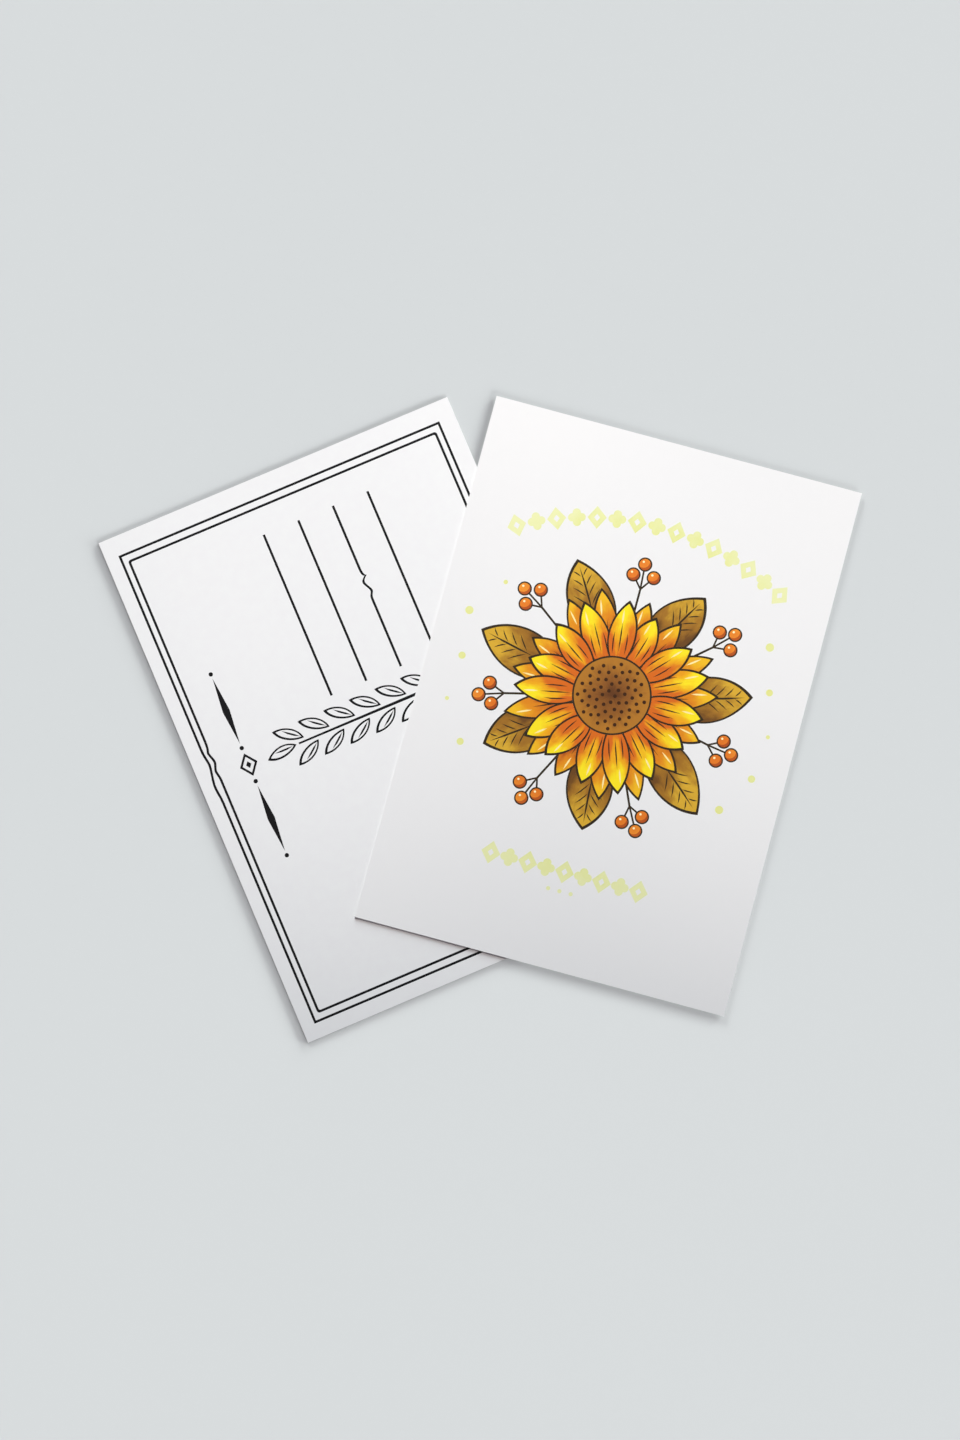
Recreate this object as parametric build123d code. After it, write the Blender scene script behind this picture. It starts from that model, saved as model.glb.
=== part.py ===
"""Two copies of one printed postcard: the lower lies face down, the upper face up across its long edge."""

import os
from math import asin, atan2, cos, degrees, hypot, pi, radians, sin, sqrt

from build123d import *

# Board, in millimetres
CARD_WIDTH = 105.0
CARD_HEIGHT = 150.0
CARD_THICKNESS = 0.45
COAT_THICKNESS = 0.04

# How the cards lie: turns in degrees anticlockwise, and the way from the lower card's centre to the upper's
LOWER_TURN = 23.0
UPPER_TURN = -15.1
UPPER_SHIFT_X = 0.609 * CARD_WIDTH
UPPER_SHIFT_Y = 0.0248 * CARD_HEIGHT

# Writing side, seen with the card upright: X to the right, Y up, the layout's own top towards -X
PEN_WIDTH = 0.68
BORDER_LEFT_MARGIN = 3.7
BORDER_RIGHT_MARGIN = 4.7
BORDER_TOP_MARGIN = 5.45
BORDER_FOOT_MARGIN = 4.1
BORDER_SIDE_SPACING = 1.9
BORDER_END_SPACING = 2.25
BORDER_CORNER = 0.8
WOBBLE_LENGTH = 10.0
WOBBLE_DEPTH = 0.8
ADDRESS_PITCH = 0.099 * CARD_WIDTH
ADDRESS_LENGTH = 0.324 * CARD_HEIGHT
ADDRESS_COUNT = 4
ADDRESS_WOBBLE_PLACE = 0.522
TWIG_LEAF_LENGTH = 0.0857 * CARD_WIDTH
TWIG_LEAF_PAIRS = 8
HEADING_LOZENGE = 5.2

# Picture side, seen with the card upright
PICTURE_PEN = 0.5
BLOOM_RISE = 2.5
DISC_RADIUS = 0.105 * CARD_WIDTH
PETAL_REACH = 0.25 * CARD_WIDTH
PETAL_WIDTH = 0.079 * CARD_WIDTH
PETAL_COUNT = 15
LEAF_REACH = 0.372 * CARD_WIDTH
LEAF_WIDTH = 0.13 * CARD_WIDTH
LEAF_COUNT = 7
BERRY_RADIUS = 0.019 * CARD_WIDTH
SEED_COUNT = 60
GARLAND_HEIGHT = 0.061 * CARD_WIDTH
GARLAND_COUNT = 15
FOOT_COUNT = 9
ARCH_ANGLE = 58.0

# Sizes that follow from those above
FACE_PLY_THICKNESS = 0.2 * CARD_THICKNESS
CORE_THICKNESS = CARD_THICKNESS - 2 * COAT_THICKNESS - 2 * FACE_PLY_THICKNESS
INK_DEPTH = COAT_THICKNESS / 2
BORDER_LEFT = BORDER_LEFT_MARGIN - CARD_WIDTH / 2
BORDER_RIGHT = CARD_WIDTH / 2 - BORDER_RIGHT_MARGIN
BORDER_TOP = CARD_HEIGHT / 2 - BORDER_TOP_MARGIN
BORDER_FOOT = BORDER_FOOT_MARGIN - CARD_HEIGHT / 2
DIVIDER_Y = 0.013 * CARD_HEIGHT
HEADING_X = BORDER_LEFT + BORDER_SIDE_SPACING + 1.73 * HEADING_LOZENGE
FINE_PEN = 0.7 * PICTURE_PEN
REAR_PETAL_REACH = 1.1 * PETAL_REACH
LEAST_INK_AREA = 0.03

# Slips of the pen in lines along Y, low end first: shares of the wobble's length, and of its depth
RULE_SLIP = ((-0.5, 0.0), (-0.28, 0.9), (-0.1, 0.0), (0.06, -0.4), (0.18, 1.0), (0.42, 0.0))
OUTER_SLIP = ((-1.0, 0.0), (-0.52, -0.5), (-0.2, 0.05), (0.1, 0.65), (0.6, 0.0))
INNER_SLIP = ((-0.4, 0.0), (-0.08, -0.45), (0.1, 0.3), (0.4, -0.55), (0.75, 0.0))

FRONT_INKS = (
    "bloom_disc",
    "seeds",
    "front_petals",
    "rear_petals",
    "leaves",
    "berries",
    "berry_shade",
    "glints",
    "outlines",
    "strokes",
    "arch_garland",
    "foot_garland",
    "pollen",
)
BACK_INKS = ("outer_border", "inner_border", "address_lines", "twig_stem", "twig_leaves", "heading")


def blade(length, width, lean):
    """Pointed petal or leaf from the origin along X, its tip drawn aside by lean."""
    tip = (length, lean)
    first = Bezier((0, 0), (0.3 * length, 0.66 * width), (0.74 * length, 0.62 * width + 0.6 * lean), tip)
    second = Bezier((0, 0), (0.3 * length, -0.66 * width), (0.74 * length, 0.6 * lean - 0.62 * width), tip)
    return make_face([first.edge(), second.edge()])


def inner_blade(length, width, lean, pen):
    """The same blade drawn in by a pen line all round."""
    drawn = (length - 3.6 * pen) / length
    return Pos(1.6 * pen, 0) * blade(drawn * length, width - 2.1 * pen, drawn * lean)


def stroke(length, width, bend):
    """Pen stroke from the origin along X, thin at both ends and bent aside in the middle."""
    near = (0.3 * length, 0.8 * bend)
    far = (0.65 * length, bend)
    points = (
        (0, 0),
        (near[0], near[1] - width / 2),
        (far[0], far[1] - width / 2),
        (length, 0),
        (far[0], far[1] + width / 2),
        (near[0], near[1] + width / 2),
    )
    return make_face(Polyline(*points, close=True))


def lozenge(width, height):
    corners = ((width / 2, 0), (0, height / 2), (-width / 2, 0), (0, -height / 2))
    return make_face(Polyline(*corners, close=True))


def box_of(shape):
    box = shape.bounding_box()
    return (box.min.X, box.min.Y, box.max.X, box.max.Y)


def boxes_meet(first, second):
    across = first[0] < second[2] and second[0] < first[2]
    along = first[1] < second[3] and second[1] < first[3]
    return across and along


class PrintedSide:
    """One printed face: ink areas by name, drawn from the topmost down, so that nothing is printed twice."""

    def __init__(self, inks):
        self.inks = {ink: [] for ink in inks}
        self.covers = []

    def over(self, shape):
        box = box_of(shape)
        return [cover for cover, cover_box in self.covers if boxes_meet(cover_box, box)]

    def ink(self, name, shape, covers):
        seen = shape - covers if covers else shape
        self.inks[name] += [face for face in seen.faces() if face.area > LEAST_INK_AREA]

    def spot(self, name, shape):
        """A plain area of one ink."""
        self.ink(name, shape, self.over(shape))
        self.covers.append((shape, box_of(shape)))

    def drawn(self, outline, fill, fill_ink, marks):
        """A pen outline round a fill, with marks in other inks let into the fill."""
        covers = self.over(outline)
        marks = [(mark_ink, mark & fill) for mark_ink, mark in marks]
        self.ink("outlines", outline - fill, covers)
        self.ink(fill_ink, fill - [mark for mark_ink, mark in marks], covers)
        for mark_ink, mark in marks:
            self.ink(mark_ink, mark, covers)
        self.covers.append((outline, box_of(outline)))

    def silhouette(self):
        return Sketch() + [cover for cover, cover_box in self.covers]


def ring_petals(side, count, reach, width, offset, ink, stroke_rows):
    """One ring of petals round the disc, every other petal lying over its neighbours."""
    base = 0.62 * DISC_RADIUS
    order = list(range(0, count, 2)) + list(range(1, count, 2))
    for index in order:
        turn = 360 * (index + offset) / count + 1.6 * sin(2.3 * index)
        length = reach - base + 0.05 * reach * sin(1.7 * index + offset)
        lean = 0.16 * width * sin(2.9 * index + 4 * offset)
        place = Pos(0, BLOOM_RISE) * Rot(0, 0, turn) * Pos(base, 0)
        marks = []
        for row in range(stroke_rows):
            aside = (row - (stroke_rows - 1) / 2) * 0.2 * width
            start = DISC_RADIUS - base + 0.8 + 0.5 * sin(3.1 * row + index)
            run = length * (0.42 - 0.1 * abs(row - (stroke_rows - 1) / 2))
            line = Rot(0, 0, 0.6 * aside) * stroke(run, FINE_PEN, 0.1 * aside)
            marks.append(("strokes", place * Pos(start, aside) * line))
        glint = Pos(0.66 * length, 0.1 * width + 0.66 * lean) * stroke(0.2 * length, 1.3 * FINE_PEN, 0)
        marks.append(("glints", place * glint))
        outline = place * blade(length, width, lean)
        fill = place * inner_blade(length, width, lean, PICTURE_PEN)
        side.drawn(outline, fill, ink, marks)


def ring_leaves(side):
    """Broad veined leaves that show between and beyond the petals."""
    base = 0.5 * PETAL_REACH
    for index in range(LEAF_COUNT):
        turn = 90 + 360 * (index + 0.5) / LEAF_COUNT + 3 * sin(2.1 * index)
        length = LEAF_REACH - base + 0.04 * LEAF_REACH * sin(1.9 * index)
        lean = 0.2 * LEAF_WIDTH * sin(2.6 * index + 1)
        place = Pos(0, BLOOM_RISE) * Rot(0, 0, turn) * Pos(base, 0)
        tilt = degrees(asin(lean / length))
        rib = Pos(0.4 * length, 0) * stroke(0.52 * length, 1.5 * FINE_PEN, -0.05 * lean)
        marks = [("strokes", place * Rot(0, 0, tilt) * rib)]
        for pair in range(4):
            along = (0.48 + 0.11 * pair) * length
            run = LEAF_WIDTH * (0.4 - 0.065 * pair)
            for hand in (1, -1):
                root = Pos(along, 0.7 * hand * PICTURE_PEN) * Rot(0, 0, 42 * hand)
                vein = root * stroke(run, FINE_PEN, -0.15 * hand)
                marks.append(("strokes", place * Rot(0, 0, tilt) * vein))
        outline = place * blade(length, LEAF_WIDTH, lean)
        fill = place * inner_blade(length, LEAF_WIDTH, lean, PICTURE_PEN)
        side.drawn(outline, fill, "leaves", marks)


def limb(start, end, width):
    """Straight pen line of one width between two points."""
    run = (end[0] - start[0], end[1] - start[1])
    middle = Pos((start[0] + end[0]) / 2, (start[1] + end[1]) / 2)
    return middle * Rot(0, 0, degrees(atan2(run[1], run[0]))) * Rectangle(hypot(*run), width)


def ring_berries(side):
    """A spray of three berries on a forked stalk in each gap between the leaves."""
    gap = 2.35 * BERRY_RADIUS
    fill_radius = BERRY_RADIUS - 0.8 * PICTURE_PEN
    for index in range(LEAF_COUNT):
        turn = 90 + 360 * index / LEAF_COUNT + 2 * sin(1.3 * index)
        place = Pos(0, BLOOM_RISE) * Rot(0, 0, turn)
        reach = REAR_PETAL_REACH + 2.6 * BERRY_RADIUS + 0.4 * BERRY_RADIUS * sin(2.2 * index)
        spots = ((reach + 0.75 * gap, 0.1 * gap), (reach, 0.62 * gap), (reach + 0.1 * gap, -0.6 * gap))
        for x, y in spots:
            upright = place * Pos(x, y) * Rot(0, 0, -turn)
            fill = upright * Circle(fill_radius)
            shade = fill - upright * Pos(-0.3 * BERRY_RADIUS, 0.36 * BERRY_RADIUS) * Circle(1.1 * fill_radius)
            glint = upright * Pos(-0.36 * fill_radius, 0.4 * fill_radius) * Circle(0.2 * fill_radius)
            marks = [("berry_shade", shade), ("glints", glint)]
            side.drawn(upright * Circle(BERRY_RADIUS), fill, "berries", marks)
        fork = (reach - 0.75 * gap, 0)
        stalk = limb((0.8 * PETAL_REACH, 0), fork, 1.2 * PICTURE_PEN)
        branches = [limb(fork, spot, PICTURE_PEN) for spot in spots]
        side.spot("outlines", place * (stalk + branches))


def picture_side():
    side = PrintedSide(FRONT_INKS)
    seed_radius = 0.36 * DISC_RADIUS / sqrt(SEED_COUNT)
    spread = (DISC_RADIUS - PICTURE_PEN - 2 * seed_radius) / sqrt(SEED_COUNT)
    seeds = []
    for index in range(SEED_COUNT):
        out = spread * sqrt(index + 0.5)
        turn = index * pi * (3 - sqrt(5))
        seed = Pos(out * cos(turn), BLOOM_RISE + out * sin(turn)) * Circle(seed_radius)
        seeds.append(("seeds", seed))
    middle = Pos(0, BLOOM_RISE)
    side.drawn(middle * Circle(DISC_RADIUS), middle * Circle(DISC_RADIUS - PICTURE_PEN), "bloom_disc", seeds)
    ring_petals(side, PETAL_COUNT, PETAL_REACH, PETAL_WIDTH, 0.0, "front_petals", 3)
    ring_petals(side, PETAL_COUNT, REAR_PETAL_REACH, 0.92 * PETAL_WIDTH, 0.5, "rear_petals", 1)
    ring_leaves(side)
    ring_berries(side)
    garlands(side)
    return side


def garland_motif(index):
    """Lozenges with an open middle, by turns with four-petalled rosettes."""
    if index % 2 == 0:
        opening = lozenge(0.26 * GARLAND_HEIGHT, 0.32 * GARLAND_HEIGHT)
        return lozenge(0.84 * GARLAND_HEIGHT, GARLAND_HEIGHT) - opening
    petal_radius = 0.18 * GARLAND_HEIGHT
    petal = Pos(1.15 * petal_radius, 0) * Circle(petal_radius)
    return Circle(0.8 * petal_radius) + [Rot(0, 0, 90 * quarter) * petal for quarter in range(4)]


def garlands(side):
    """Pale bands of lozenges and rosettes: an arch over the picture, a row under it; dots beside it."""
    picture_reach = max(LEAF_REACH, REAR_PETAL_REACH + 6 * BERRY_RADIUS) * 1.05
    arch_radius = 0.74 * CARD_WIDTH
    crown = BLOOM_RISE + picture_reach + 0.9 * GARLAND_HEIGHT
    for index in range(GARLAND_COUNT):
        turn = ARCH_ANGLE * (index / (GARLAND_COUNT - 1) - 0.5)
        place = Pos(0, crown - arch_radius) * Rot(0, 0, turn) * Pos(0, arch_radius)
        side.spot("arch_garland", place * garland_motif(index))
    foot = BLOOM_RISE - picture_reach - 1.2 * GARLAND_HEIGHT
    for index in range(FOOT_COUNT):
        across = 0.82 * GARLAND_HEIGHT * (index - (FOOT_COUNT - 1) / 2)
        side.spot("foot_garland", Pos(across, foot) * garland_motif(index))
    for index in range(3):
        dot = Circle(0.09 * GARLAND_HEIGHT)
        side.spot("foot_garland", Pos(0.5 * GARLAND_HEIGHT * (index - 1), foot - 0.85 * GARLAND_HEIGHT) * dot)
    for hand in (1, -1):
        for index in range(5):
            turn = 90 - hand * (58 + 16 * index)
            out = picture_reach * (1.035 + 0.037 * sin(2.7 * index + hand))
            place = Pos(0, BLOOM_RISE) * Rot(0, 0, turn) * Pos(out, 0)
            side.spot("pollen", place * Circle(GARLAND_HEIGHT * (0.14 + 0.05 * sin(1.9 * index + hand))))


def wobble(x, middle, slip):
    """Pen wobble in a line that runs along Y, from its low end to its high end."""
    points = [(x + WOBBLE_DEPTH * across, middle + WOBBLE_LENGTH * along) for along, across in slip]
    return Spline(*points, tangents=((0, 1), (0, 1)))


def border_sheet(side_inset, end_inset, slip, corner):
    """Area inside a border line, with the pen wobble on the layout's top side."""
    right = BORDER_RIGHT - side_inset
    top = BORDER_TOP - end_inset
    foot = BORDER_FOOT + end_inset
    curve = wobble(BORDER_LEFT + side_inset, DIVIDER_Y + 0.02 * CARD_HEIGHT, slip).edge()
    first, last = curve @ 0, curve @ 1
    round_trip = Polyline(last, (last.X, top), (right, top), (right, foot), (first.X, foot), first)
    sheet = make_face([curve, *round_trip.edges()])
    if corner > 0:
        corners = [v for v in sheet.vertices() if min(abs(v.Y - top), abs(v.Y - foot)) < 0.01]
        sheet = fillet(corners, corner)
    return sheet


def border_line(side_inset, end_inset, slip, corner):
    inner_corner = max(corner - PEN_WIDTH / 2, 0)
    inside = border_sheet(side_inset + PEN_WIDTH, end_inset + PEN_WIDTH, slip, inner_corner)
    return border_sheet(side_inset, end_inset, slip, corner) - inside


def wobbly_rule(x, low, high, middle):
    sides = []
    for edge_x in (x - PEN_WIDTH / 2, x + PEN_WIDTH / 2):
        curve = wobble(edge_x, middle, RULE_SLIP).edge()
        sides += [Line((edge_x, low), curve @ 0).edge(), curve, Line(curve @ 1, (edge_x, high)).edge()]
    ends = [Line((x - PEN_WIDTH / 2, y), (x + PEN_WIDTH / 2, y)).edge() for y in (low, high)]
    return make_face(sides + ends)


def writing_side():
    side = PrintedSide(BACK_INKS)
    side.spot("outer_border", border_line(0, 0, OUTER_SLIP, 0))
    side.spot("inner_border", border_line(BORDER_SIDE_SPACING, BORDER_END_SPACING, INNER_SLIP, BORDER_CORNER))
    address(side)
    twig(side)
    heading(side)
    return side


def address(side):
    """Ruled lines for the address, one of them with the pen wobble."""
    low = DIVIDER_Y + 0.97 * TWIG_LEAF_LENGTH
    high = min(low + ADDRESS_LENGTH, BORDER_TOP - BORDER_END_SPACING - 4 * PEN_WIDTH)
    for index in range(ADDRESS_COUNT):
        x = ADDRESS_PITCH * (index - (ADDRESS_COUNT - 1) / 2) + 0.059 * CARD_WIDTH
        if index == 2:
            side.spot("address_lines", wobbly_rule(x, low, high, low + ADDRESS_WOBBLE_PLACE * (high - low)))
        else:
            rule = Pos(x, (low + high) / 2) * Rectangle(PEN_WIDTH, high - low)
            side.spot("address_lines", rule)


def twig(side):
    """Leafy twig between the message half and the address half, its tip towards the heading."""
    tip = HEADING_X + 0.5 * HEADING_LOZENGE + 4 * PEN_WIDTH
    end = BORDER_RIGHT - BORDER_SIDE_SPACING - 0.6 * TWIG_LEAF_LENGTH
    length = end - tip
    leaf_width = 0.38 * TWIG_LEAF_LENGTH
    leaf_pen = 0.75 * PEN_WIDTH
    leaf_turns = [(tip + TWIG_LEAF_LENGTH, 180)]
    step = (length - 1.3 * TWIG_LEAF_LENGTH) / TWIG_LEAF_PAIRS
    for pair in range(TWIG_LEAF_PAIRS):
        root = tip + 1.3 * TWIG_LEAF_LENGTH + step * pair
        leaf_turns += [(root, 142), (root + 0.45 * step, -142)]
    for root, turn in leaf_turns:
        side_of_stem = 1.5 * PEN_WIDTH * sin(radians(turn)) / sin(radians(142))
        place = Pos(root, DIVIDER_Y + side_of_stem) * Rot(0, 0, turn)
        lean = 0.3 * leaf_width * (1 if turn > 0 else -1)
        hollow = place * inner_blade(TWIG_LEAF_LENGTH, leaf_width, lean, leaf_pen)
        rib = place * Pos(1.5 * PEN_WIDTH, 0) * stroke(0.62 * TWIG_LEAF_LENGTH, leaf_pen, 0.12)
        outline = place * blade(TWIG_LEAF_LENGTH, leaf_width, lean)
        side.spot("twig_leaves", (outline - hollow) + (rib & hollow))
    stem_start = tip + TWIG_LEAF_LENGTH + PEN_WIDTH
    thin = 0.4 * PEN_WIDTH
    thick = 0.8 * PEN_WIDTH
    ends = ((stem_start, thin), (end, thick), (end, -thick), (stem_start, -thin))
    corners = [(x, DIVIDER_Y + half) for x, half in ends]
    side.spot("twig_stem", make_face(Polyline(*corners, close=True)))


def heading(side):
    """Lozenge between two swelled rules with beads, at the layout's top."""
    height = 1.3 * HEADING_LOZENGE
    frame = lozenge(HEADING_LOZENGE, height) - lozenge(
        HEADING_LOZENGE - 2.4 * PEN_WIDTH, height - 3 * PEN_WIDTH
    )
    centre = Pos(HEADING_X, DIVIDER_Y)
    side.spot("heading", centre * frame)
    side.spot("heading", centre * lozenge(0.3 * HEADING_LOZENGE, 0.3 * height))
    bead_radius = 0.9 * PEN_WIDTH
    rule_length = 3.8 * HEADING_LOZENGE
    for hand in (1, -1):
        first_bead = height / 2 + 2.6 * bead_radius
        rule_middle = first_bead + 2 * bead_radius + rule_length / 2
        last_bead = rule_middle + rule_length / 2 + 2 * bead_radius
        side.spot("heading", centre * Pos(0, hand * rule_middle) * lozenge(3 * PEN_WIDTH, rule_length))
        for rise in (first_bead, last_bead):
            side.spot("heading", centre * Pos(0, hand * rise) * Circle(bead_radius))


def printed_layers(side, coat_name):
    """Coat with its inks let in flush, standing on the plane z = 0."""
    layers = {name: [extrude(face, INK_DEPTH) for face in faces] for name, faces in side.inks.items()}
    lift = Pos(0, 0, COAT_THICKNESS - INK_DEPTH)
    layers = {name: [lift * solid for solid in solids] for name, solids in layers.items()}
    coat = Pos(0, 0, COAT_THICKNESS / 2) * Box(CARD_WIDTH, CARD_HEIGHT, COAT_THICKNESS)
    pocket = lift * extrude(side.silhouette(), 2 * INK_DEPTH)
    layers[coat_name] = (coat - pocket).solids()
    return layers


def card_layers():
    """One card about its own middle, picture side up."""
    face_plane = Pos(0, 0, CARD_THICKNESS / 2 - COAT_THICKNESS)
    turned_over = Rot(0, 180, 0)
    layers = {}
    for name, solids in printed_layers(picture_side(), "front_coat").items():
        layers[name] = [face_plane * solid for solid in solids]
    for name, solids in printed_layers(writing_side(), "back_coat").items():
        layers[name] = [turned_over * face_plane * solid for solid in solids]
    ply_rise = (CORE_THICKNESS + FACE_PLY_THICKNESS) / 2
    layers["front_ply"] = [Pos(0, 0, ply_rise) * Box(CARD_WIDTH, CARD_HEIGHT, FACE_PLY_THICKNESS)]
    layers["core_ply"] = [Box(CARD_WIDTH, CARD_HEIGHT, CORE_THICKNESS)]
    layers["back_ply"] = [Pos(0, 0, -ply_rise) * Box(CARD_WIDTH, CARD_HEIGHT, FACE_PLY_THICKNESS)]
    return layers


def main():
    os.makedirs("parts", exist_ok=True)
    layers = card_layers()
    lower_place = Pos(0, 0, CARD_THICKNESS / 2) * Rot(0, 0, LOWER_TURN) * Rot(0, 180, 0)
    upper_place = Pos(UPPER_SHIFT_X, UPPER_SHIFT_Y, 1.5 * CARD_THICKNESS) * Rot(0, 0, UPPER_TURN)
    cores = Compound([place * layers["core_ply"][0] for place in (lower_place, upper_place)])
    middle = cores.bounding_box().center()
    centred = Pos(-middle.X, -middle.Y)
    for card, place in (("lower", lower_place), ("upper", upper_place)):
        for name, solids in layers.items():
            node = Compound([centred * place * solid for solid in solids])
            export_step(node, f"parts/{card}_{name}.step")


main()
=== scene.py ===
"""Looks of the postcard pair: papers, printing inks, table, light and camera."""

import math
from typing import NamedTuple

import bmesh
import bpy
from mathutils import Matrix, Vector


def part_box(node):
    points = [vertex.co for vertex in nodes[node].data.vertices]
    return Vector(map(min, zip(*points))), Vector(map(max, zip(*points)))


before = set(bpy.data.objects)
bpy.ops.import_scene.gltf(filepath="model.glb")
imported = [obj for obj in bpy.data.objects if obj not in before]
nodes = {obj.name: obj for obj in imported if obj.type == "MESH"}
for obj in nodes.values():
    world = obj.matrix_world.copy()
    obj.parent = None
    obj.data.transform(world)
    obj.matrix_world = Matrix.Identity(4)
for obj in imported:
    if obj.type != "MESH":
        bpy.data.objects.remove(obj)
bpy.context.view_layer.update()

# Lengths are in metres, and MM makes them millimetres; angles of lights are in degrees
MM = 0.001


def middle_of(node):
    """Centre of a node's box."""
    low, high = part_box(node)
    return (low + high) / 2


# How the cards lie
CARD_MIDDLE = {"lower": middle_of("lower_core_ply"), "upper": middle_of("upper_core_ply")}
CARD_TURN = {"lower": math.radians(23.0), "upper": math.radians(-15.1)}

# Picture side: how far the flower stands above a card's middle, and how many blades each ring has
BLOOM_RISE = 2.5 * MM
PETAL_COUNT = 15
LEAF_COUNT = 7

# Surfaces: relief of the paper, how rough each finish is or how far that swings, and how much it shines
PAPER_RELIEF = 0.02 * MM
PAPER_SWING = 0.05
PEN_SWING = 0.08
PEN_SHINE = 0.15
INK_SMOOTHEST = 0.42
INK_ROUGHEST = 0.56
INK_SHINE = 0.25
TABLE_ROUGHNESS = 0.9
TABLE_SHINE = 0.1

# Ends that most of a noise pattern, and most of a paper's tone, lie between
NOISE_ENDS = (0.3, 0.7)
TONE_ENDS = (0.2, 0.8)

# Table: a wide square sheet, a hair below the cards
TABLE_HALF_WIDTH = 6.0
TABLE_DROP = 0.02 * MM

# Light on the table: its level in the picture, the share of light it throws back, and each source's share
TABLE_LEVEL = 0.71
TABLE_WHITE = 0.5
DOME_SHARE = 0.1
DOME_COLOUR = (1.09, 0.975, 1.075, 1.0)
OVERHEAD_SHARE = 0.075
OVERHEAD_SPREAD = 40
SIDE_COLOUR = (0.97, 1.0, 0.994)


class SideBox(NamedTuple):
    """Soft box beside the table: direction and spread in degrees, and its share of the table's light."""

    name: str
    azimuth: float
    elevation: float
    share: float
    spread: float
    lower_only: bool = False


SIDE_BOXES = (
    SideBox("front_box", azimuth=-55, elevation=18.5, share=0.17, spread=18),
    SideBox("right_low_box", azimuth=-10, elevation=6.5, share=0.095, spread=8, lower_only=True),
    SideBox("right_high_box", azimuth=5, elevation=11.5, share=0.075, spread=16),
    SideBox("corner_box", azimuth=39, elevation=11.5, share=0.12, spread=10),
    SideBox("corner_high_box", azimuth=35, elevation=26, share=0.09, spread=10),
    SideBox("corner_low_box", azimuth=62, elevation=6.5, share=0.105, spread=8, lower_only=True),
    SideBox("rear_box", azimuth=108, elevation=16.5, share=0.17, spread=16),
)

# Light on the cards: a broad box behind them and a row of lamps, with each one's place across and power
CARD_WHITE = 0.86
BACK_LEVEL = 0.375
BACK_AZIMUTH = 90
BACK_RISE = 18
BACK_SPREAD = 30
BACK_COLOUR = (0.9, 1.0, 1.035)
WASH_LAMPS = (("left_wash", -148 * MM, 53.5), ("middle_wash", 16 * MM, 87), ("right_wash", 180 * MM, 61.5))
WASH_BACK = 1.5
WASH_HEIGHT = 1.8
WASH_AIM = 135 * MM
WASH_CONE = 5.8
WASH_BLEND = 0.8
WASH_RADIUS = 30 * MM
WASH_COLOUR = (1.05, 1.0, 0.95)
LAMP_DISTANCE = 2.0

# Camera: looks nearly straight down, from over a point just past the cards' lower ends
PICTURE_HEIGHT = 397.95 * MM
CAMERA_LEAN = math.radians(4.9)
CAMERA_AIM = Vector((-0.1 * MM, -0.74 * MM, 0))
LENS_IN_MM = 100
SENSOR_IN_MM = 36
NEAREST_SEEN = 10 * MM
FARTHEST_SEEN = 50

# Sockets of a Mix node that mixes colours
MIX_SHARE, MIX_FIRST, MIX_SECOND = 0, 6, 7
MIX_RESULT = 2


def srgb(red, green, blue):
    """Linear colour from display values of 0 to 255."""
    channels = []
    for value in (red, green, blue):
        share = value / 255
        channels.append(share / 12.92 if share <= 0.04045 else ((share + 0.055) / 1.055) ** 2.4)
    return (*channels, 1.0)


def feed(tree, socket, value):
    """Link a socket to another node's output, or set it to a constant."""
    if isinstance(value, bpy.types.NodeSocket):
        tree.links.new(value, socket)
    else:
        socket.default_value = value


def math_node(tree, operation, *values):
    """One sum on numbers or on other nodes' outputs."""
    node = tree.nodes.new("ShaderNodeMath")
    node.operation = operation
    for socket, value in zip(node.inputs, values):
        feed(tree, socket, value)
    return node.outputs[0]


def noise_node(tree, place, scale, detail=2.0, roughness=0.5):
    """Cloudy pattern of 0 to 1."""
    node = tree.nodes.new("ShaderNodeTexNoise")
    node.inputs["Scale"].default_value = scale
    node.inputs["Detail"].default_value = detail
    node.inputs["Roughness"].default_value = roughness
    tree.links.new(place, node.inputs["Vector"])
    return node.outputs["Fac"]


def fibre_noise(tree, place, turn, stretch, scale):
    """Cloudy pattern drawn out into fibres that lie along one direction."""
    laid = tree.nodes.new("ShaderNodeMapping")
    laid.inputs["Rotation"].default_value = (0, 0, turn)
    laid.inputs["Scale"].default_value = (1, stretch, 1)
    tree.links.new(place, laid.inputs["Vector"])
    return noise_node(tree, laid.outputs["Vector"], scale, detail=4.0, roughness=0.6)


def swing(tree, pattern, amount):
    """Pattern of 0 to 1 turned into a push either way."""
    return math_node(tree, "MULTIPLY", math_node(tree, "SUBTRACT", pattern, 0.5), amount)


def map_range(tree, value, low, high, to_low=0.0, to_high=1.0, smooth=True):
    """Value between two ends brought to between two other ends."""
    node = tree.nodes.new("ShaderNodeMapRange")
    node.interpolation_type = "SMOOTHSTEP" if smooth else "LINEAR"
    tree.links.new(value, node.inputs["Value"])
    for name, end in (("From Min", low), ("From Max", high), ("To Min", to_low), ("To Max", to_high)):
        feed(tree, node.inputs[name], end)
    return node.outputs["Result"]


def mix_colours(tree, share, first, second):
    """Colour between two others."""
    node = tree.nodes.new("ShaderNodeMix")
    node.data_type = "RGBA"
    feed(tree, node.inputs[MIX_SHARE], share)
    feed(tree, node.inputs[MIX_FIRST], first)
    feed(tree, node.inputs[MIX_SECOND], second)
    return node.outputs[MIX_RESULT]


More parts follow.
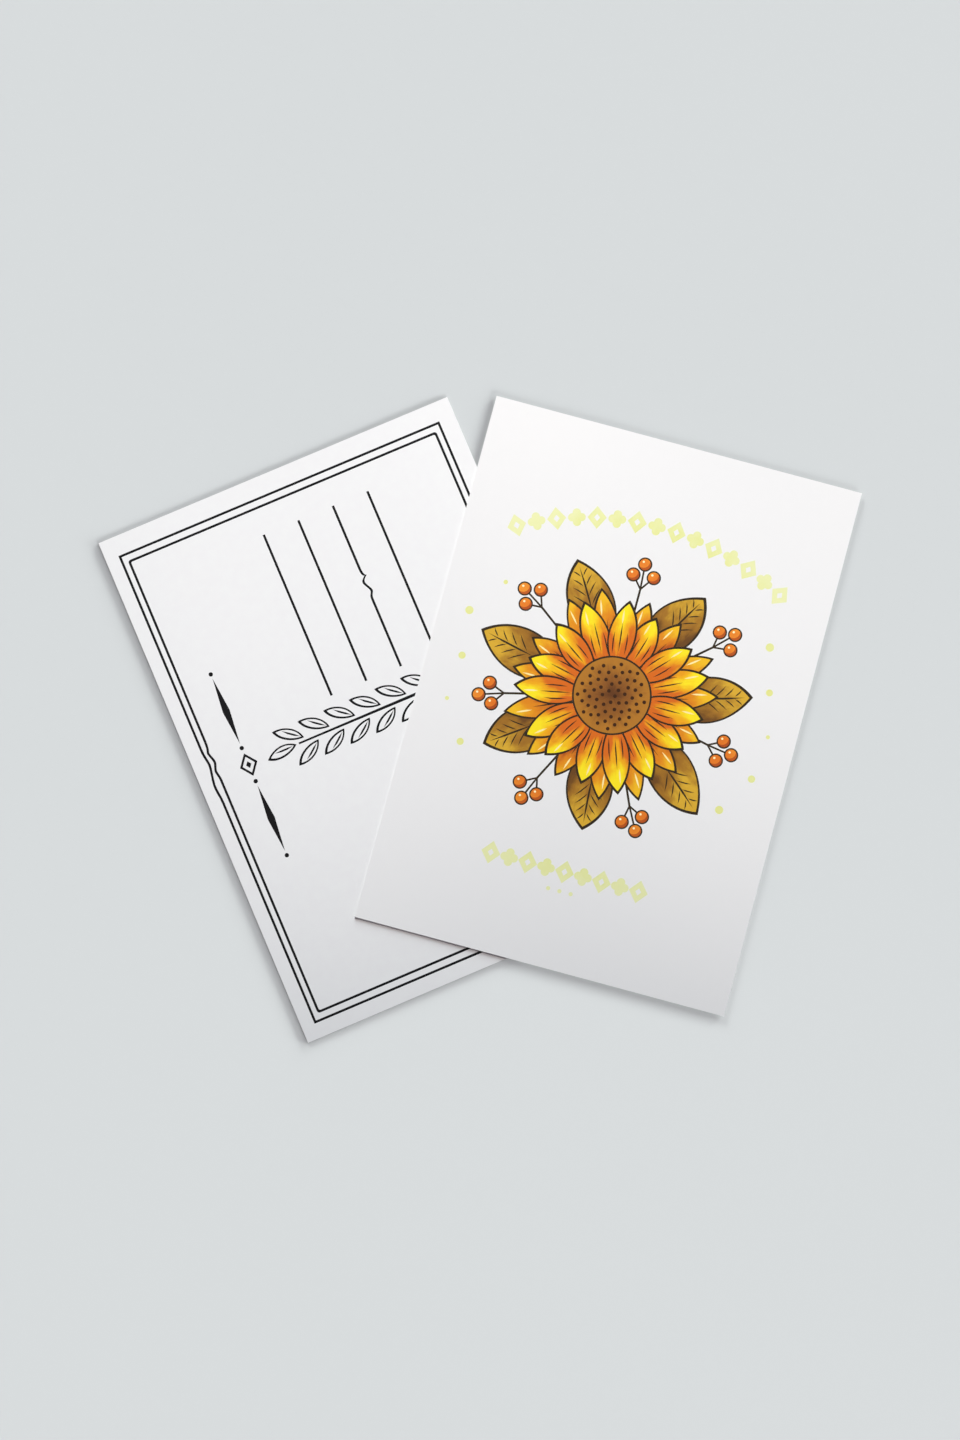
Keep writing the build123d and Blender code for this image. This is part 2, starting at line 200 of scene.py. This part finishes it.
def new_group(name, inputs, outputs):
    """Shader node group with named sockets; returns the group, its input node and its output node."""
    group = bpy.data.node_groups.new(name, "ShaderNodeTree")
    for label, kind, default in inputs:
        socket = group.interface.new_socket(label, in_out="INPUT", socket_type=kind)
        if default is not None:
            socket.default_value = default
    for label, kind in outputs:
        group.interface.new_socket(label, in_out="OUTPUT", socket_type=kind)
    return group, group.nodes.new("NodeGroupInput"), group.nodes.new("NodeGroupOutput")


def place_group(tree, group, **values):
    """Group placed in a material, with its own values."""
    node = tree.nodes.new("ShaderNodeGroup")
    node.node_tree = group
    for name, value in values.items():
        feed(tree, node.inputs[name], value)
    return node


def make_paper_grain():
    """Fibre and cloudiness of paper, from coordinates in millimetres: a tone mask and a height."""
    cloud_share, fibre_share = 0.6, 0.2
    group, enter, leave = new_group(
        "paper_grain",
        inputs=[("Place", "NodeSocketVector", None), ("Fibre", "NodeSocketFloat", 1.0)],
        outputs=[("Tone", "NodeSocketFloat"), ("Height", "NodeSocketFloat")],
    )
    place = enter.outputs["Place"]
    cloud = noise_node(group, place, scale=0.35, detail=3.0)
    along = fibre_noise(group, place, turn=0, stretch=5, scale=1.4)
    across = fibre_noise(group, place, turn=math.radians(68), stretch=4, scale=1.9)
    fibres = math_node(group, "MULTIPLY", math_node(group, "ADD", along, across), enter.outputs["Fibre"])
    clouded = math_node(group, "MULTIPLY", cloud, cloud_share)
    tone = math_node(group, "MULTIPLY_ADD", fibres, fibre_share, clouded)
    group.links.new(tone, leave.inputs["Tone"])
    group.links.new(fibres, leave.inputs["Height"])
    return group


def make_brush_wash():
    """Brushed colour round a centre, deep at the heart and light at the rim, with streaks and shaded blades.

    Heart and Rim are in millimetres. Blades is how many petals or leaves stand round the centre, First where
    the first one points, as a share of the turn to the next, and Fold how much each darkens beside its fold.
    """
    spokes_per_radian, steps_per_mm = 14.0, 0.16
    pool_push, speck_push = 0.7, 0.12
    fold_place, light_band, dark_band = 0.56, 0.06, 0.4
    group, enter, leave = new_group(
        "brush_wash",
        inputs=[
            ("Place", "NodeSocketVector", None),
            ("Deep", "NodeSocketColor", (0.4, 0.1, 0.02, 1)),
            ("Middle", "NodeSocketColor", (0.8, 0.4, 0.02, 1)),
            ("Light", "NodeSocketColor", (0.9, 0.7, 0.02, 1)),
            ("Heart", "NodeSocketFloat", 10.0),
            ("Rim", "NodeSocketFloat", 26.0),
            ("Streaks", "NodeSocketFloat", 0.5),
            ("Blades", "NodeSocketFloat", 1.0),
            ("First", "NodeSocketFloat", 0.0),
            ("Fold", "NodeSocketFloat", 0.0),
        ],
        outputs=[("Colour", "NodeSocketColor"), ("Grain", "NodeSocketFloat")],
    )
    given = enter.outputs

    # Distance from the centre and angle round it
    axes = group.nodes.new("ShaderNodeSeparateXYZ")
    group.links.new(given["Place"], axes.inputs[0])
    flat = group.nodes.new("ShaderNodeCombineXYZ")
    group.links.new(axes.outputs["X"], flat.inputs["X"])
    group.links.new(axes.outputs["Y"], flat.inputs["Y"])
    length = group.nodes.new("ShaderNodeVectorMath")
    length.operation = "LENGTH"
    group.links.new(flat.outputs[0], length.inputs[0])
    out = length.outputs["Value"]
    around = math_node(group, "ARCTAN2", axes.outputs["Y"], axes.outputs["X"])

    # Streaks that run outwards, pools of colour and fine specks push the run of colour either way
    spokes = group.nodes.new("ShaderNodeCombineXYZ")
    group.links.new(math_node(group, "MULTIPLY", around, spokes_per_radian), spokes.inputs["X"])
    group.links.new(math_node(group, "MULTIPLY", out, steps_per_mm), spokes.inputs["Y"])
    streak = noise_node(group, spokes.outputs[0], scale=1.0, detail=4.0, roughness=0.62)
    pools = noise_node(group, flat.outputs[0], scale=0.22, detail=3.0)
    grain = noise_node(group, flat.outputs[0], scale=5.0, detail=3.0, roughness=0.65)
    push = math_node(group, "ADD", swing(group, streak, given["Streaks"]), swing(group, pools, pool_push))
    push = math_node(group, "ADD", push, swing(group, grain, speck_push))

    # Each blade is lightest along its fold and darker towards its edges
    turns = math_node(group, "MULTIPLY", math_node(group, "DIVIDE", around, 2 * math.pi), given["Blades"])
    start = math_node(group, "SUBTRACT", turns, given["First"])
    across = math_node(group, "FRACT", math_node(group, "ADD", start, 0.5))
    aside = math_node(group, "ABSOLUTE", math_node(group, "SUBTRACT", across, fold_place))
    shade = math_node(group, "MULTIPLY", map_range(group, aside, light_band, dark_band), given["Fold"])

    # Run of colour from the heart to the rim
    reach = map_range(group, out, given["Heart"], given["Rim"], smooth=False)
    step = math_node(group, "SUBTRACT", math_node(group, "ADD", reach, push), shade)
    middle_share = map_range(group, step, low=0.0, high=0.42)
    light_share = map_range(group, step, low=0.38, high=0.9)
    colour = mix_colours(group, middle_share, given["Deep"], given["Middle"])
    colour = mix_colours(group, light_share, colour, given["Light"])
    group.links.new(colour, leave.inputs["Colour"])
    group.links.new(grain, leave.inputs["Grain"])
    return group


PAPER_GRAIN = make_paper_grain()
BRUSH_WASH = make_brush_wash()


def card_coordinates(tree, card, rise=0.0):
    """Millimetres on one card, from its middle or from a point up its long axis."""
    centre = CARD_MIDDLE[card] + Matrix.Rotation(CARD_TURN[card], 3, "Z") @ Vector((0, rise, 0))
    source = tree.nodes.new("ShaderNodeTexCoord")
    mapping = tree.nodes.new("ShaderNodeMapping")
    mapping.vector_type = "TEXTURE"
    mapping.inputs["Location"].default_value = centre
    mapping.inputs["Rotation"].default_value = (0, 0, CARD_TURN[card])
    mapping.inputs["Scale"].default_value = (MM, MM, MM)
    tree.links.new(source.outputs["Object"], mapping.inputs["Vector"])
    return mapping.outputs["Vector"]


def new_material(name):
    """Material with its node tree and its shader."""
    material = bpy.data.materials.new(name)
    material.use_nodes = True
    tree = material.node_tree
    return material, tree, tree.nodes["Principled BSDF"]


def add_bump(tree, shader, height, strength):
    """Relief of the paper's surface."""
    bump = tree.nodes.new("ShaderNodeBump")
    bump.inputs["Strength"].default_value = strength
    bump.inputs["Distance"].default_value = PAPER_RELIEF
    tree.links.new(height, bump.inputs["Height"])
    tree.links.new(bump.outputs["Normal"], shader.inputs["Normal"])


def paper_material(name, card, bright, dull, fibre, roughness, bump):
    """Paper that is a little duller and smoother where its fibres lie thin."""
    material, tree, shader = new_material(name)
    grain = place_group(tree, PAPER_GRAIN, Place=card_coordinates(tree, card), Fibre=fibre)
    tone = grain.outputs["Tone"]
    colour = mix_colours(tree, map_range(tree, tone, low=0.3, high=0.75), dull, bright)
    tree.links.new(colour, shader.inputs["Base Color"])
    matte = map_range(tree, tone, *TONE_ENDS, roughness - PAPER_SWING, roughness + PAPER_SWING)
    tree.links.new(matte, shader.inputs["Roughness"])
    add_bump(tree, shader, grain.outputs["Height"], bump)
    return material


def pen_material(name, card, dark, worn, roughness):
    """Pen line: nearly even, but thinned out a little on the paper's high spots."""
    material, tree, shader = new_material(name)
    place = card_coordinates(tree, card)
    grain = place_group(tree, PAPER_GRAIN, Place=place, Fibre=1.0)
    speck = noise_node(tree, place, scale=7.0, detail=3.0, roughness=0.7)
    worn_spot = map_range(tree, speck, low=0.56, high=0.8)
    thin = math_node(tree, "MULTIPLY", worn_spot, grain.outputs["Tone"])
    tree.links.new(mix_colours(tree, thin, dark, worn), shader.inputs["Base Color"])
    matte = map_range(tree, speck, *NOISE_ENDS, roughness - PEN_SWING, roughness + PEN_SWING)
    tree.links.new(matte, shader.inputs["Roughness"])
    shader.inputs["Specular IOR Level"].default_value = PEN_SHINE
    add_bump(tree, shader, grain.outputs["Height"], strength=0.1)
    return material


def wash_material(name, card, deep, middle, light, heart, rim, streaks, blades=1, first=0.0, fold=0.0):
    """Brushed ink round the flower's centre."""
    material, tree, shader = new_material(name)
    wash = place_group(
        tree,
        BRUSH_WASH,
        Place=card_coordinates(tree, card, BLOOM_RISE),
        Deep=deep,
        Middle=middle,
        Light=light,
        Heart=heart,
        Rim=rim,
        Streaks=streaks,
        Blades=blades,
        First=first,
        Fold=fold,
    )
    grain = wash.outputs["Grain"]
    tree.links.new(wash.outputs["Colour"], shader.inputs["Base Color"])
    matte = map_range(tree, grain, *NOISE_ENDS, INK_SMOOTHEST, INK_ROUGHEST)
    tree.links.new(matte, shader.inputs["Roughness"])
    shader.inputs["Specular IOR Level"].default_value = INK_SHINE
    add_bump(tree, shader, grain, strength=0.08)
    return material


def coated_paper(card):
    """Picture side: smooth white coating with a satin gloss."""
    bright, dull = srgb(237, 236, 236), srgb(236, 235, 235)
    return paper_material(f"{card}_coated_paper", card, bright, dull, fibre=0.35, roughness=0.42, bump=0.12)


def writing_paper(card):
    """Writing side: matte, with its fibres showing faintly."""
    bright, dull = srgb(236, 236, 236), srgb(234, 233, 234)
    return paper_material(f"{card}_writing_paper", card, bright, dull, fibre=1.0, roughness=0.62, bump=0.2)


def bleached_ply(card):
    """Outer layers of the board, seen at the cut edges."""
    bright, dull = srgb(236, 235, 232), srgb(220, 219, 214)
    return paper_material(f"{card}_bleached_ply", card, bright, dull, fibre=1.2, roughness=0.8, bump=0.5)


def board_core(card):
    """Middle layer of the board: coarser and a little darker."""
    bright, dull = srgb(226, 223, 215), srgb(202, 198, 188)
    return paper_material(f"{card}_board_core", card, bright, dull, fibre=1.4, roughness=0.85, bump=0.6)


def black_line(card):
    """Everything drawn on the writing side."""
    return pen_material(f"{card}_black_line", card, srgb(16, 16, 18), srgb(52, 52, 54), roughness=0.5)


def dark_line(card):
    """Outlines and hatching of the picture."""
    return pen_material(f"{card}_dark_line", card, srgb(52, 42, 28), srgb(98, 80, 48), roughness=0.48)


def seed_ink(card):
    """Seeds in the flower's disc."""
    return pen_material(f"{card}_seed_ink", card, srgb(62, 36, 16), srgb(104, 62, 26), roughness=0.48)


def yellow_wash(card):
    """Front petals: orange at the heart, clear yellow at the tips."""
    colours = (srgb(214, 104, 22), srgb(238, 168, 18), srgb(250, 226, 30))
    name = f"{card}_yellow_wash"
    return wash_material(name, card, *colours, heart=10, rim=24, streaks=0.6, blades=PETAL_COUNT, fold=0.5)


def golden_wash(card):
    """Rear petals: deeper, and half a petal further round."""
    colours = (srgb(184, 84, 20), srgb(222, 134, 20), srgb(240, 186, 30))
    name = f"{card}_golden_wash"
    return wash_material(
        name, card, *colours, heart=16, rim=28, streaks=0.6, blades=PETAL_COUNT, first=0.5, fold=0.4
    )


def brown_wash(card):
    """Disc of the flower."""
    colours = (srgb(96, 54, 20), srgb(138, 84, 30), srgb(176, 116, 36))
    return wash_material(f"{card}_brown_wash", card, *colours, heart=0, rim=11, streaks=0.5)


def ochre_wash(card):
    """Leaves round the flower."""
    colours = (srgb(104, 66, 24), srgb(158, 108, 32), srgb(214, 168, 48))
    name = f"{card}_ochre_wash"
    return wash_material(
        name, card, *colours, heart=18, rim=38, streaks=0.7, blades=LEAF_COUNT, first=0.25, fold=0.45
    )


def orange_wash(card):
    """Berries."""
    colours = (srgb(214, 104, 28), srgb(226, 120, 32), srgb(238, 146, 44))
    return wash_material(f"{card}_orange_wash", card, *colours, heart=28, rim=42, streaks=0.6)


def rust_wash(card):
    """Shaded side of the berries."""
    colours = (srgb(160, 66, 20), srgb(176, 78, 24), srgb(192, 92, 28))
    return wash_material(f"{card}_rust_wash", card, *colours, heart=28, rim=42, streaks=0.4)


def pale_yellow(card):
    """Garlands and pollen, lighter away from the flower."""
    colours = (srgb(226, 223, 127), srgb(227, 229, 152), srgb(231, 233, 175))
    return wash_material(f"{card}_pale_yellow", card, *colours, heart=38, rim=56, streaks=0.6)


def glint(card):
    """Light touches on petals and berries."""
    colours = (srgb(252, 232, 160), srgb(253, 238, 176), srgb(254, 243, 190))
    return wash_material(f"{card}_glint", card, *colours, heart=20, rim=40, streaks=0.5)


FINISHES = (
    (coated_paper, ("front_coat",)),
    (writing_paper, ("back_coat",)),
    (bleached_ply, ("front_ply", "back_ply")),
    (board_core, ("core_ply",)),
    (black_line, ("outer_border", "inner_border", "address_lines", "twig_stem", "twig_leaves", "heading")),
    (dark_line, ("outlines", "strokes")),
    (seed_ink, ("seeds",)),
    (yellow_wash, ("front_petals",)),
    (golden_wash, ("rear_petals",)),
    (brown_wash, ("bloom_disc",)),
    (ochre_wash, ("leaves",)),
    (orange_wash, ("berries",)),
    (rust_wash, ("berry_shade",)),
    (pale_yellow, ("arch_garland", "foot_garland", "pollen")),
    (glint, ("glints",)),
)


def dress_card(card):
    """Give each piece of one card its finish."""
    for finish, pieces in FINISHES:
        material = finish(card)
        for piece in pieces:
            mesh = nodes[f"{card}_{piece}"].data
            mesh.materials.clear()
            mesh.materials.append(material)


def pale_table():
    """Plain grey ground, very faintly clouded."""
    material, tree, shader = new_material("pale_table")
    source = tree.nodes.new("ShaderNodeTexCoord")
    cloud = noise_node(tree, source.outputs["Object"], scale=3.0)
    colour = mix_colours(tree, cloud, srgb(184, 187, 187), srgb(186, 189, 189))
    tree.links.new(colour, shader.inputs["Base Color"])
    shader.inputs["Roughness"].default_value = TABLE_ROUGHNESS
    shader.inputs["Specular IOR Level"].default_value = TABLE_SHINE
    return material


def make_table():
    """Ground that the cards lie on."""
    bm = bmesh.new()
    bmesh.ops.create_grid(bm, x_segments=1, y_segments=1, size=TABLE_HALF_WIDTH)
    bmesh.ops.translate(bm, verts=bm.verts, vec=(0, 0, -TABLE_DROP))
    mesh = bpy.data.meshes.new("table_top")
    bm.to_mesh(mesh)
    bm.free()
    mesh.materials.append(pale_table())
    table = bpy.data.objects.new("table_top", mesh)
    bpy.context.scene.collection.objects.link(table)
    return table


def linked_to(name, objects):
    """Collection outside the scene, that says which objects a light falls on or is blocked by."""
    collection = bpy.data.collections.new(name)
    for thing in objects:
        collection.objects.link(thing)
    return collection


def add_lamp(name, kind, place, aim, energy, colour, falls_on):
    """Light at a place, turned towards a point."""
    lamp = bpy.data.lights.new(name, kind)
    lamp.energy = energy
    lamp.color = colour
    holder = bpy.data.objects.new(name, lamp)
    holder.location = place
    holder.rotation_mode = "QUATERNION"
    holder.rotation_quaternion = (place - aim).to_track_quat("Z", "Y")
    holder.light_linking.receiver_collection = falls_on
    bpy.context.scene.collection.objects.link(holder)
    return holder


def direction(azimuth, elevation):
    """Unit vector from the cards towards a light, whose angles are in degrees."""
    turn, rise = math.radians(azimuth), math.radians(elevation)
    return Vector((math.cos(turn) * math.cos(rise), math.sin(turn) * math.cos(rise), math.sin(rise)))


def add_soft_box(name, towards, spread, level, white, colour, falls_on):
    """Distant soft box that brings a flat surface of the given whiteness to a brightness."""
    energy = level * math.pi / (white * towards.z)
    holder = add_lamp(name, "SUN", LAMP_DISTANCE * towards, Vector(), energy, colour, falls_on)
    holder.data.angle = math.radians(spread)
    return holder


def light_table(falls_on, lower_card):
    """Soft boxes round the right-hand side and one overhead, each with its share of the table's light.

    A free upper card tips down to the table and throws shorter shadows than the level one here,
    so only the lower card stands in the way of the two low boxes.
    """
    for box in SIDE_BOXES:
        level = box.share * TABLE_LEVEL
        towards = direction(box.azimuth, box.elevation)
        holder = add_soft_box(box.name, towards, box.spread, level, TABLE_WHITE, SIDE_COLOUR, falls_on)
        if box.lower_only:
            holder.light_linking.blocker_collection = lower_card
    level = OVERHEAD_SHARE * TABLE_LEVEL
    upwards = Vector((0, 0, 1))
    add_soft_box("overhead_box", upwards, OVERHEAD_SPREAD, level, TABLE_WHITE, DOME_COLOUR[:3], falls_on)


def light_cards(falls_on):
    """Broad box behind the cards, and a row of lamps whose wash fades towards the cards' lower ends."""
    towards = direction(BACK_AZIMUTH, BACK_RISE)
    add_soft_box("back_box", towards, BACK_SPREAD, BACK_LEVEL, CARD_WHITE, BACK_COLOUR, falls_on)
    for name, across, power in WASH_LAMPS:
        place = Vector((across, WASH_BACK, WASH_HEIGHT))
        aim = Vector((across, WASH_AIM, 0))
        holder = add_lamp(name, "SPOT", place, aim, power, WASH_COLOUR, falls_on)
        holder.data.spot_size = 2 * math.radians(WASH_CONE)
        holder.data.spot_blend = WASH_BLEND
        holder.data.shadow_soft_size = WASH_RADIUS


def light_dome():
    """Even light from all round."""
    world = bpy.data.worlds.new("studio")
    world.use_nodes = True
    background = world.node_tree.nodes["Background"]
    background.inputs["Color"].default_value = DOME_COLOUR
    background.inputs["Strength"].default_value = DOME_SHARE * TABLE_LEVEL / TABLE_WHITE
    bpy.context.scene.world = world


def light_stage(table):
    """Dome for everything, side light for the table alone and wash for the cards' printed faces."""
    lower_card = [thing for name, thing in nodes.items() if name.startswith("lower_")]
    faces = [thing for name, thing in nodes.items() if not name.endswith("_ply")]
    light_dome()
    light_table(linked_to("lit_from_the_side", [table]), linked_to("shades_the_table", lower_card))
    light_cards(linked_to("lit_by_the_wash", faces))


def make_camera():
    """Camera so far off that its picture is as high as wanted at the cards."""
    data = bpy.data.cameras.new("camera")
    data.lens = LENS_IN_MM
    data.sensor_width = SENSOR_IN_MM
    data.clip_start = NEAREST_SEEN
    data.clip_end = FARTHEST_SEEN
    camera = bpy.data.objects.new("camera", data)
    distance = PICTURE_HEIGHT * LENS_IN_MM / SENSOR_IN_MM
    lean = Matrix.Rotation(CAMERA_LEAN, 3, "X")
    camera.location = CAMERA_AIM + lean @ Vector((0, 0, distance))
    camera.rotation_euler = (CAMERA_LEAN, 0, 0)
    bpy.context.scene.collection.objects.link(camera)
    bpy.context.scene.camera = camera


for card in CARD_TURN:
    dress_card(card)
light_stage(make_table())
make_camera()
bpy.context.scene.view_settings.view_transform = "Standard"
